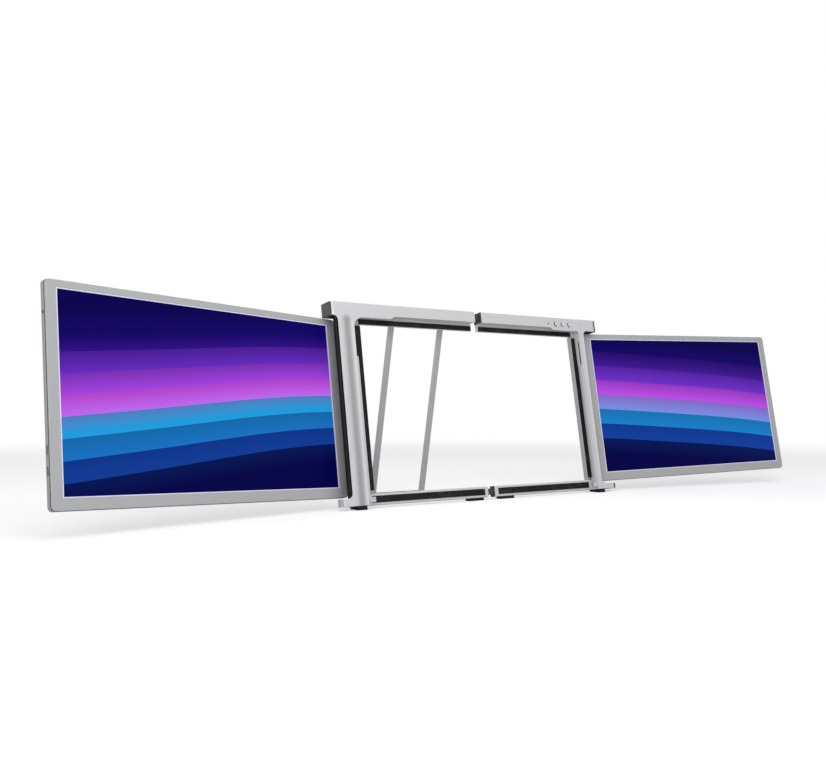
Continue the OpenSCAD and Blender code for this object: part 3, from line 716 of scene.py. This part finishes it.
def circuit_board(name, colour, copper):
    """A circuit board."""
    material, tree, output, place = start_material(name)
    tracks = use_group(tree, "circuit_tracks", {"Vector": place})
    skin = use_group(tree, "moulded_skin", {"Vector": place})
    coppery = math_node(tree, "MULTIPLY", tracks.outputs[0], 0.5)
    return shaded(
        material, tree, output,
        {
            "Base Color": mix_node(tree, coppery, (*colour, 1.0), (*copper, 1.0)),
            "Roughness": varied(tree, skin.outputs["Skin"], 0.3, 0.42),
            "Normal": raised(tree, tracks.outputs[0], 0.3, TRACK_HEIGHT),
        },
    )


def lit_picture(name, side, sizes, centre_u, centre_v, bands):
    """A lit screen under its matte film, with the picture laid on the panel's own plane. The panel's colour is
    painted light: a dim copy of the picture's glow.
    """
    material, tree, output, place = start_material(name)
    axes = screen_axes(side)
    low, high = span(side + "_display_panel", axes)
    middle = (low + high) / 2
    half = Vector((sizes.picture_width / 2, 0, sizes.picture_height / 2))
    # Seen from the front, the left screen's far side is its left side
    if side == "left":
        corner = axes @ Vector((middle.x + half.x, low.y, middle.z - half.z))
        across = -axes.col[0].to_3d()
    else:
        corner = axes @ Vector((middle.x - half.x, low.y, middle.z - half.z))
        across = axes.col[0].to_3d()
    plane = use_group(
        tree, "panel_plane",
        {
            "Vector": place,
            "Corner": corner,
            "Across": across / sizes.picture_width,
            "Upwards": UP / sizes.picture_height,
        },
    )
    picture = use_group(
        tree, "arc_picture",
        {
            "U": plane.outputs["U"], "V": plane.outputs["V"],
            "Centre U": centre_u, "Centre V": centre_v, "Bands": bands,
        },
    )
    grain = use_group(tree, "blasted_grain", {"Vector": place, "Grain": 3000.0})
    return shaded(
        material, tree, output,
        {
            # Painted light: the panel's colour is a dim copy of the picture's glow
            "Base Color": picture.outputs["Film"],
            "Roughness": varied(tree, grain.outputs["Pits"], 0.42, 0.52),
            "Specular IOR Level": 0.02,
            "Emission Color": picture.outputs["Color"],
            "Emission Strength": sizes.picture_light,
        },
    )


def make_groups(colours):
    """All the shared groups."""
    blast_group()
    brush_group()
    mould_group()
    plane_group()
    painted_groove_shade_group()
    circuit_group()
    picture_group([getattr(colours, "picture_" + name) for name in RAMP_COLOURS])


def material_named(name):
    """A material that the materials' operator has made."""
    return bpy.data.materials["finish_" + name]


# ---------------------------------------------------------------- settings


def length_prop(name, description, default):
    """A length in metres."""
    return bpy.props.FloatProperty(
        name=name, description=description, default=default, unit="LENGTH", precision=5
    )


def colour_prop(name, description, default):
    """A colour."""
    return bpy.props.FloatVectorProperty(
        name=name, description=description, default=default, subtype="COLOR", size=3,
        min=0.0, max=1.0,
    )


class ExtenderSizes(bpy.types.PropertyGroup):
    """Sizes of the details."""

    frame_round: length_prop("Frame rounding", "Round on the frame's sharp edges", 0.0005)
    screen_round: length_prop("Screen rounding", "Round on the screens' sharp edges", 0.0004)
    small_round: length_prop("Small rounding", "Round on buttons, clips and caps", 0.0003)
    pad_round: length_prop("Pad rounding", "Round on the lid pads and the light", 0.0002)
    screw_round: length_prop("Screw rounding", "Round on screws and sockets", 0.00012)
    picture_round: length_prop("Picture rounding", "Round on picture and pale line", 0.0001)
    picture_width: length_prop("Picture width", "Width of the lit picture", 0.3442)
    picture_height: length_prop("Picture height", "Height of the lit picture", 0.1936)
    edge_width: length_prop("Edge width", "Width of the pale line round the picture", 0.00095)
    edge_depth: length_prop("Edge depth", "From the bezel's front back to that line", 0.0001)
    edge_thickness: length_prop("Edge thickness", "Thickness of that line", 0.0003)
    # The shade ring is a dark ring of painted shade laid in each screen's seam, standing out of it a little
    shade_ring_width: length_prop("Seal width", "Width of the seal in the screens' seam", 0.0012)
    shade_ring_thickness: length_prop("Seal thickness", "Thickness of that seal", 0.00038)
    shade_ring_corner: length_prop("Seal corner", "Radius of the seal's corners", 0.0047)
    shade_ring_proud: length_prop("Seal proud", "How far it stands out of the seam", 0.00025)
    shade_ring_start: length_prop("Seal start", "From the screen's hinge side to it", 0.00035)
    recess_half: length_prop("Recess half width", "From a hinge's axis to its sides", 0.0053)
    recess_front: length_prop("Recess front", "From that axis to its mouth", 0.00335)
    recess_margin: length_prop("Recess margin", "Beyond each end of the spine", 0.001)
    # Place and width of the painted shade down the left column's groove
    groove_half: length_prop("Groove half width", "From the groove's darkest line out", 0.0075)
    groove_end: length_prop("Groove end", "From the column's top to the groove's end", 0.0215)
    groove_shift: length_prop("Groove shift", "From the column's middle to that line", 0.0022)
    screw_head: length_prop("Screw head", "Thickness of a screw's head", 0.00065)
    socket_radius: length_prop("Socket radius", "Six-sided socket in a screw's head", 0.0009)
    socket_depth: length_prop("Socket depth", "Depth of that socket", 0.0005)
    picture_light: bpy.props.FloatProperty(
        name="Picture light", description="Strength of the lit pictures", default=0.9, min=0.0
    )


class ExtenderColours(bpy.types.PropertyGroup):
    """Colours of the finishes and of the pictures."""

    frame: colour_prop("Frame", "Blasted metal of the frame", (0.69, 0.69, 0.7))
    bezel: colour_prop("Bezel", "Satin metal round the pictures", (0.485, 0.49, 0.5))
    shell: colour_prop("Shell", "Satin metal behind the screens", (0.35, 0.35, 0.355))
    cover: colour_prop("Covers", "Metal covers behind the columns", (0.42, 0.42, 0.43))
    clip: colour_prop("Clips", "Metal of the lid clips", (0.56, 0.56, 0.61))
    leg: colour_prop("Leg", "Metal of the folding leg", (0.5, 0.5, 0.51))
    rail: colour_prop("Rails", "Dark metal of the rails", (0.05, 0.05, 0.055))
    cap: colour_prop("Caps", "Dark plastic of caps and bushes", (0.06, 0.06, 0.063))
    pale_cap: colour_prop("Pale cap", "Plastic of the lower left cap", (0.5, 0.5, 0.51))
    hinge: colour_prop("Hinge", "Black metal of the hinges", (0.005, 0.005, 0.006))
    rubber: colour_prop("Rubber", "Pads and feet", (0.008, 0.008, 0.008))
    # Painted shade: colour of the dark rings in the screens' seams and of the right top bar's end at its seam
    seal: colour_prop("Seals", "Rubber in the screens' seams", (0.012, 0.012, 0.012))
    steel: colour_prop("Steel", "Pins and screws", (0.45, 0.45, 0.46))
    sheet: colour_prop("Light sheet", "Sheet behind the picture", (0.85, 0.86, 0.88))
    lamp: colour_prop("Power light", "Lens of the power light", (0.09, 0.09, 0.1))
    board: colour_prop("Boards", "Lacquer of the circuit boards", (0.012, 0.09, 0.04))
    copper: colour_prop("Copper", "Tracks of the circuit boards", (0.4, 0.22, 0.08))
    # Painted highlight: this colour also glows, on the pale line round each picture
    edge: colour_prop("Picture edge", "Pale line round the picture", (0.78, 0.74, 0.93))
    picture_top: colour_prop("Picture top", "Darkest colour at the top", (0.002, 0.0006, 0.06))
    picture_indigo: colour_prop("Indigo", "Below the top", (0.008, 0.0015, 0.14))
    picture_violet: colour_prop("Violet", "Above the middle", (0.13, 0.025, 0.48))
    picture_horizon: colour_prop("Magenta", "Brightest band", (0.50, 0.07, 0.70))
    picture_cyan: colour_prop("Cyan", "Below the middle", (0.012, 0.28, 0.60))
    picture_blue: colour_prop("Blue", "Above the bottom", (0.006, 0.05, 0.33))
    picture_floor: colour_prop("Picture bottom", "Darkest at the bottom", (0.001, 0.001, 0.05))


class ExtenderStage(bpy.types.PropertyGroup):
    """Lights, floor and camera."""

    key_light: bpy.props.FloatProperty(
        name="Key light", description="Power of the large front light", default=18.0, min=0.0
    )
    near_light: bpy.props.FloatProperty(
        name="Near light", description="Power of the light just in front", default=2.6, min=0.0
    )
    top_light: bpy.props.FloatProperty(
        name="Top light", description="Power of the light overhead", default=9.0, min=0.0
    )
    room_light: bpy.props.FloatProperty(
        name="Room light", description="Strength of the light from all sides", default=0.36, min=0.0
    )
    lens: bpy.props.FloatProperty(
        name="Lens", description="Focal length of the camera, mm", default=41.883, min=1.0
    )


# ---------------------------------------------------------------- operators


class EXTENDER_OT_materials(bpy.types.Operator):
    """Make the finishes and the pictures"""

    bl_idname = "extender.materials"
    bl_label = "Make materials"

    def execute(self, context):
        sizes, colours = context.scene.extender_sizes, context.scene.extender_colours
        make_groups(colours)
        axes = frame_axes()
        # Painted shade down the left column's groove, whose darkest line ends this far below the column's top
        low, high = span("left_column", axes)
        end = axes @ Vector(((low.x + high.x) / 2 + sizes.groove_shift, 0,
                             high.z - sizes.groove_end))
        blasted_metal("silver_frame", colours.frame, metallic=0.15, rough=0.5)
        blasted_metal("grooved_frame", colours.frame, metallic=0.15, rough=0.5,
                      groove=(end, sizes.groove_half))
        blasted_metal("bezel_metal", colours.bezel, metallic=0.1, rough=0.55, shine=0.3)
        blasted_metal("shell_metal", colours.shell, metallic=0.35, rough=0.45)
        blasted_metal("cover_metal", colours.cover, metallic=0.35, rough=0.45)
        blasted_metal("button_metal", colours.frame, metallic=0.45, rough=0.32, strength=0.12)
        blasted_metal("clip_metal", colours.clip, metallic=0.4, rough=0.36, strength=0.12)
        blasted_metal("leg_metal", colours.leg, metallic=0.4, rough=0.42)
        blasted_metal("hinge_black", colours.hinge, metallic=0.0, rough=0.6, strength=0.15,
                      shine=0.2)
        brushed_metal("rail_metal", colours.rail, metallic=0.3, rough=0.4, stretch=RAIL_LINES)
        brushed_metal("turned_steel", colours.steel, metallic=0.85, rough=0.3,
                      stretch=TURNED_LINES)
        moulded("dark_cap", colours.cap, rough=0.5)
        moulded("pale_cap", colours.pale_cap, rough=0.5)
        moulded("pad_rubber", colours.rubber, rough=0.75, cells=900.0, strength=0.6, shine=0.2)
        moulded("seam_rubber", colours.seal, rough=0.7, shine=0.2)
        # Painted highlight: the pale line round each picture glows, standing in for the light its window edge
        # catches
        glow_and_painted_highlight("picture_edge", colours.edge, rough=0.4, strength=0.15, spread=0.03)
        glow_and_painted_highlight("light_sheet", colours.sheet, rough=0.6, strength=0.1, spread=0.02)
        glow_and_painted_highlight("light_lens", colours.lamp, rough=0.2, strength=0.02, spread=0.02)
        circuit_board("board_green", colours.board, colours.copper)
        lit_picture("left_picture", "left", sizes, centre_u=1.25, centre_v=-1.0, bands=9.0)
        lit_picture("right_picture", "right", sizes, centre_u=-0.2, centre_v=-1.15, bands=8.0)
        return {"FINISHED"}


class EXTENDER_OT_frame(bpy.types.Operator):
    """Round the frame's columns and bars, its covers, its caps and its rails"""

    bl_idname = "extender.frame"
    bl_label = "Dress the frame"

    def execute(self, context):
        sizes = context.scene.extender_sizes
        silver = material_named("silver_frame")
        for side, finish in (("left", "grooved_frame"), ("right", "silver_frame")):
            column = soften(side + "_column", sizes.frame_round, material_named(finish))
            axes = frame_axes(side)
            low, high = span(side + "_hinge_spine", axes)
            inverse = axes.inverted()

            # The column's faces in the recess round the hinge spine, from its mouth back and a little past the
            # spine's ends, are coloured the hinges' black
            def in_recess(centre, normal):
                spot = inverse @ centre
                margin = sizes.recess_margin
                return (abs(spot.x) < sizes.recess_half and spot.y > -sizes.recess_front
                        and low.z - margin < spot.z < high.z + margin)

            second_finish(column, material_named("hinge_black"), in_recess)
        for node in ("left_top_bar", "left_bottom_bar", "right_bottom_bar"):
            soften(node, sizes.frame_round, silver)
        bar = soften("right_top_bar", sizes.frame_round, silver)
        axes = frame_axes()
        bar_end = span("right_top_bar", axes)[1].x
        place = axes.inverted()
        # Painted shade: the right top bar's end at its seam takes the seam's dark colour
        second_finish(
            bar, material_named("seam_rubber"),
            lambda centre, normal: (place @ centre).x > bar_end - sizes.frame_round,
        )
        for node in ("left_back_cover", "right_back_cover"):
            soften(node, sizes.frame_round, material_named("cover_metal"))
        for node in ("glide_bushes", "stand_bracket", "right_end_caps"):
            soften(node, sizes.small_round, material_named("dark_cap"))
        caps = soften("left_end_caps", sizes.small_round, material_named("dark_cap"))
        # The lower left cap is coloured pale grey, the other caps dark
        second_finish(
            caps, material_named("pale_cap"),
            lambda centre, normal: (place @ centre).z < 0,
        )
        for node in ("top_rail", "bottom_rail"):
            soften(node, sizes.frame_round, material_named("rail_metal"))
        return {"FINISHED"}


class EXTENDER_OT_screens(bpy.types.Operator):
    """Round the bezels and the backs, and lay a pale glowing line of painted highlight and a dark ring of painted
    shade round each screen
    """

    bl_idname = "extender.screens"
    bl_label = "Dress the screens"

    def execute(self, context):
        sizes = context.scene.extender_sizes
        for side in ("left", "right"):
            axes = screen_axes(side)
            body = side + "_screen"
            soften(body + "_bezel", sizes.screen_round, material_named("bezel_metal"))
            soften(body + "_back", sizes.screen_round, material_named("shell_metal"))
            bezel_low, bezel_high = span(body + "_bezel", axes)
            panel_low, panel_high = span(side + "_display_panel", axes)
            middle = (panel_low + panel_high) / 2
            grow = sizes.edge_width
            half = Vector((sizes.picture_width / 2 + grow, 0, sizes.picture_height / 2 + grow))
            edge = ring_shape(
                middle - half, middle + half, depth=bezel_low.y + sizes.edge_depth,
                thickness=sizes.edge_thickness, width=grow, radius=0,
            )
            place_piece(side + "_picture_edge", edge, axes, body,
                        material_named("picture_edge"), sizes.picture_round)
            # Painted shade: a dark ring laid in the seam between bezel and back
            seal = ring_shape(
                bezel_low + Vector((sizes.shade_ring_start, 0, -sizes.shade_ring_proud)),
                bezel_high + Vector((sizes.shade_ring_proud, 0, sizes.shade_ring_proud)),
                depth=bezel_high.y, thickness=sizes.shade_ring_thickness, width=sizes.shade_ring_width,
                radius=sizes.shade_ring_corner,
            )
            place_piece(side + "_seam_seal", seal, axes, body,
                        material_named("seam_rubber"))
            soften(side + "_display_panel", sizes.picture_round,
                   material_named(side + "_picture"))
            dress(side + "_backlight", material_named("light_sheet"))
            dress(side + "_driver_board", material_named("board_green"))
            soften(body + "_ports", sizes.screw_round, material_named("turned_steel"))
        return {"FINISHED"}


class EXTENDER_OT_hinges(bpy.types.Operator):
    """Round the hinge spines and finish their pins and washers"""

    bl_idname = "extender.hinges"
    bl_label = "Dress the hinges"

    def execute(self, context):
        sizes = context.scene.extender_sizes
        for side in ("left", "right"):
            soften(side + "_hinge_spine", sizes.small_round, material_named("hinge_black"))
            dress(side + "_hinge_pins", material_named("turned_steel"))
            dress(side + "_hinge_washers", material_named("turned_steel"))
        return {"FINISHED"}


class EXTENDER_OT_screws(bpy.types.Operator):
    """Put a screw with a six-sided socket in the place of each plain one"""

    bl_idname = "extender.screws"
    bl_label = "Fit the screws"

    def execute(self, context):
        sizes = context.scene.extender_sizes
        for side in ("left", "right"):
            for node, axes in (
                (side + "_cover_screws", frame_axes()),
                (side + "_screen_screws", screen_axes(side)),
            ):
                shape = bmesh.new()
                for low, high in island_spans(node, axes):
                    screw_shape(shape, low, high, sizes)
                piece = place_piece(
                    node + "_sockets", shape, axes, BODY_OF[node],
                    material_named("turned_steel"), sizes.screw_round,
                )
                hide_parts(node)
        return {"FINISHED"}


class EXTENDER_OT_controls(bpy.types.Operator):
    """Finish the buttons, their board and the power light"""

    bl_idname = "extender.controls"
    bl_label = "Dress the controls"

    def execute(self, context):
        sizes = context.scene.extender_sizes
        for node in ("power_button", "menu_button", "select_button"):
            button = soften(node, sizes.small_round, material_named("button_metal"), segments=3)
            # The buttons' sides and backs are coloured the hinges' black, their fronts stay silver
            second_finish(
                button, material_named("hinge_black"),
                lambda centre, normal: normal.dot(BACK) > -BUTTON_FRONT,
            )
        dress("button_board", material_named("board_green"))
        soften("power_light", sizes.pad_round, material_named("light_lens"), segments=3)
        return {"FINISHED"}


class EXTENDER_OT_clips(bpy.types.Operator):
    """Round the sliding clips, and finish the pads and the feet"""

    bl_idname = "extender.clips"
    bl_label = "Dress the clips and pads"

    def execute(self, context):
        sizes = context.scene.extender_sizes
        for side in ("left", "right"):
            soften(side + "_lid_clip", sizes.small_round, material_named("clip_metal"))
            soften(side + "_lid_pads", sizes.pad_round, material_named("pad_rubber"))
            soften(side + "_feet", sizes.small_round, material_named("pad_rubber"))
        return {"FINISHED"}


class EXTENDER_OT_stand(bpy.types.Operator):
    """Round the folding leg and finish its pins and its foot"""

    bl_idname = "extender.stand"
    bl_label = "Dress the stand"

    def execute(self, context):
        sizes = context.scene.extender_sizes
        soften("stand_leg", sizes.frame_round, material_named("leg_metal"))
        soften("stand_foot", sizes.small_round, material_named("pad_rubber"))
        soften("stand_pins", sizes.small_round, material_named("turned_steel"))
        return {"FINISHED"}


class EXTENDER_OT_stage(bpy.types.Operator):
    """Lay the pale floor, set the soft lights and put the camera at the photograph's angle"""

    bl_idname = "extender.stage"
    bl_label = "Set the stage"

    def area(self, name, place, target, size, power):
        light = bpy.data.lights.new(name, "AREA")
        light.shape = "RECTANGLE"
        light.size, light.size_y = size
        light.energy = power
        lamp = bpy.data.objects.new(name, light)
        lamp.location = place
        lamp.rotation_euler = (Vector(target) - Vector(place)).to_track_quat("-Z", "Y").to_euler()
        bpy.context.scene.collection.objects.link(lamp)

    def floor_material(self):
        material, tree, output, place = start_material("pale_floor")
        grain = use_group(tree, "blasted_grain", {"Vector": place, "Grain": 30.0, "Clouds": 1.5})
        shader = add_node(
            tree, "ShaderNodeBsdfPrincipled",
            {"Base Color": toned(tree, grain.outputs["Tone"], FLOOR_COLOUR, 0.01),
             "Roughness": 0.9, "Specular IOR Level": 0.0},
        )
        path = tree.nodes.new("ShaderNodeLightPath")
        glow = add_node(
            tree, "ShaderNodeEmission",
            {"Strength": math_node(tree, "MULTIPLY", path.outputs["Is Camera Ray"], FLOOR_GLOW)},
        )
        near = add_node(tree, "ShaderNodeAddShader", {0: shader.outputs[0], 1: glow.outputs[0]})
        distance = add_node(
            tree, "ShaderNodeVectorMath", {0: place}, operation="LENGTH"
        ).outputs["Value"]
        fade = range_node(tree, distance, FLOOR_FADE, interpolation_type="SMOOTHSTEP")
        factor = math_node(tree, "MULTIPLY", fade, seen_node(tree, path))
        white = add_node(tree, "ShaderNodeEmission", {"Strength": 1.0})
        both = add_node(
            tree, "ShaderNodeMixShader", {0: factor, 1: near.outputs[0], 2: white.outputs[0]}
        )
        tree.links.new(both.outputs[0], output.inputs[0])
        return material

    def execute(self, context):
        settings = context.scene.extender_stage
        shape = bmesh.new()
        bmesh.ops.create_grid(shape, x_segments=2, y_segments=2, size=FLOOR_HALF)
        mesh = bpy.data.meshes.new("floor")
        shape.to_mesh(mesh)
        shape.free()
        mesh.materials.append(self.floor_material())
        floor = bpy.data.objects.new("floor", mesh)
        context.scene.collection.objects.link(floor)

        world = bpy.data.worlds.new("studio")
        context.scene.world = world
        world.use_nodes = True
        tree = world.node_tree
        tree.nodes.clear()
        output = tree.nodes.new("ShaderNodeOutputWorld")
        seen = seen_node(tree, tree.nodes.new("ShaderNodeLightPath"))
        strength = range_node(tree, seen, (0.0, 1.0), (settings.room_light, 1.0))
        sky = add_node(tree, "ShaderNodeBackground", {"Color": (1, 1, 1, 1), "Strength": strength})
        tree.links.new(sky.outputs[0], output.inputs[0])

        for name, place, target, size in LIGHTS:
            self.area(name, place, target, size, getattr(settings, name + "_light"))

        data = bpy.data.cameras.new("camera")
        data.sensor_width = 36.0
        data.lens = settings.lens
        data.shift_x, data.shift_y = CAMERA_SHIFT
        data.clip_start = 0.05
        data.clip_end = 60.0
        camera = bpy.data.objects.new("camera", data)
        camera.matrix_world = axes_matrix(*CAMERA_AXES)
        context.scene.collection.objects.link(camera)
        context.scene.camera = camera
        context.scene.view_settings.view_transform = "Standard"
        return {"FINISHED"}


class EXTENDER_PT_panel(bpy.types.Panel):
    """Lists the steps in the sidebar."""

    bl_idname = "EXTENDER_PT_panel"
    bl_label = "Screen extender"
    bl_space_type = "VIEW_3D"
    bl_region_type = "UI"
    bl_category = "Extender"

    def draw(self, context):
        for step in STEPS:
            self.layout.operator(step.bl_idname)
        for group in ("extender_sizes", "extender_colours", "extender_stage"):
            settings = getattr(context.scene, group)
            box = self.layout.box()
            for name in settings.__annotations__:
                box.prop(settings, name)


STEPS = (
    EXTENDER_OT_materials, EXTENDER_OT_frame, EXTENDER_OT_screens, EXTENDER_OT_hinges,
    EXTENDER_OT_screws, EXTENDER_OT_controls, EXTENDER_OT_clips, EXTENDER_OT_stand,
    EXTENDER_OT_stage,
)
GROUPS = (ExtenderSizes, ExtenderColours, ExtenderStage)


def register():
    """Adds the settings, the steps and the panel."""
    for item in (*GROUPS, *STEPS, EXTENDER_PT_panel):
        bpy.utils.register_class(item)
    bpy.types.Scene.extender_sizes = bpy.props.PointerProperty(type=ExtenderSizes)
    bpy.types.Scene.extender_colours = bpy.props.PointerProperty(type=ExtenderColours)
    bpy.types.Scene.extender_stage = bpy.props.PointerProperty(type=ExtenderStage)


def unregister():
    """Takes them away again."""
    del bpy.types.Scene.extender_stage
    del bpy.types.Scene.extender_colours
    del bpy.types.Scene.extender_sizes
    for item in reversed((*GROUPS, *STEPS, EXTENDER_PT_panel)):
        bpy.utils.unregister_class(item)


def main():
    """Runs every step in order."""
    register()
    bpy.ops.extender.materials()
    bpy.ops.extender.frame()
    bpy.ops.extender.screens()
    bpy.ops.extender.hinges()
    bpy.ops.extender.screws()
    bpy.ops.extender.controls()
    bpy.ops.extender.clips()
    bpy.ops.extender.stand()
    bpy.ops.extender.stage()


if __name__ == "__main__":
    main()
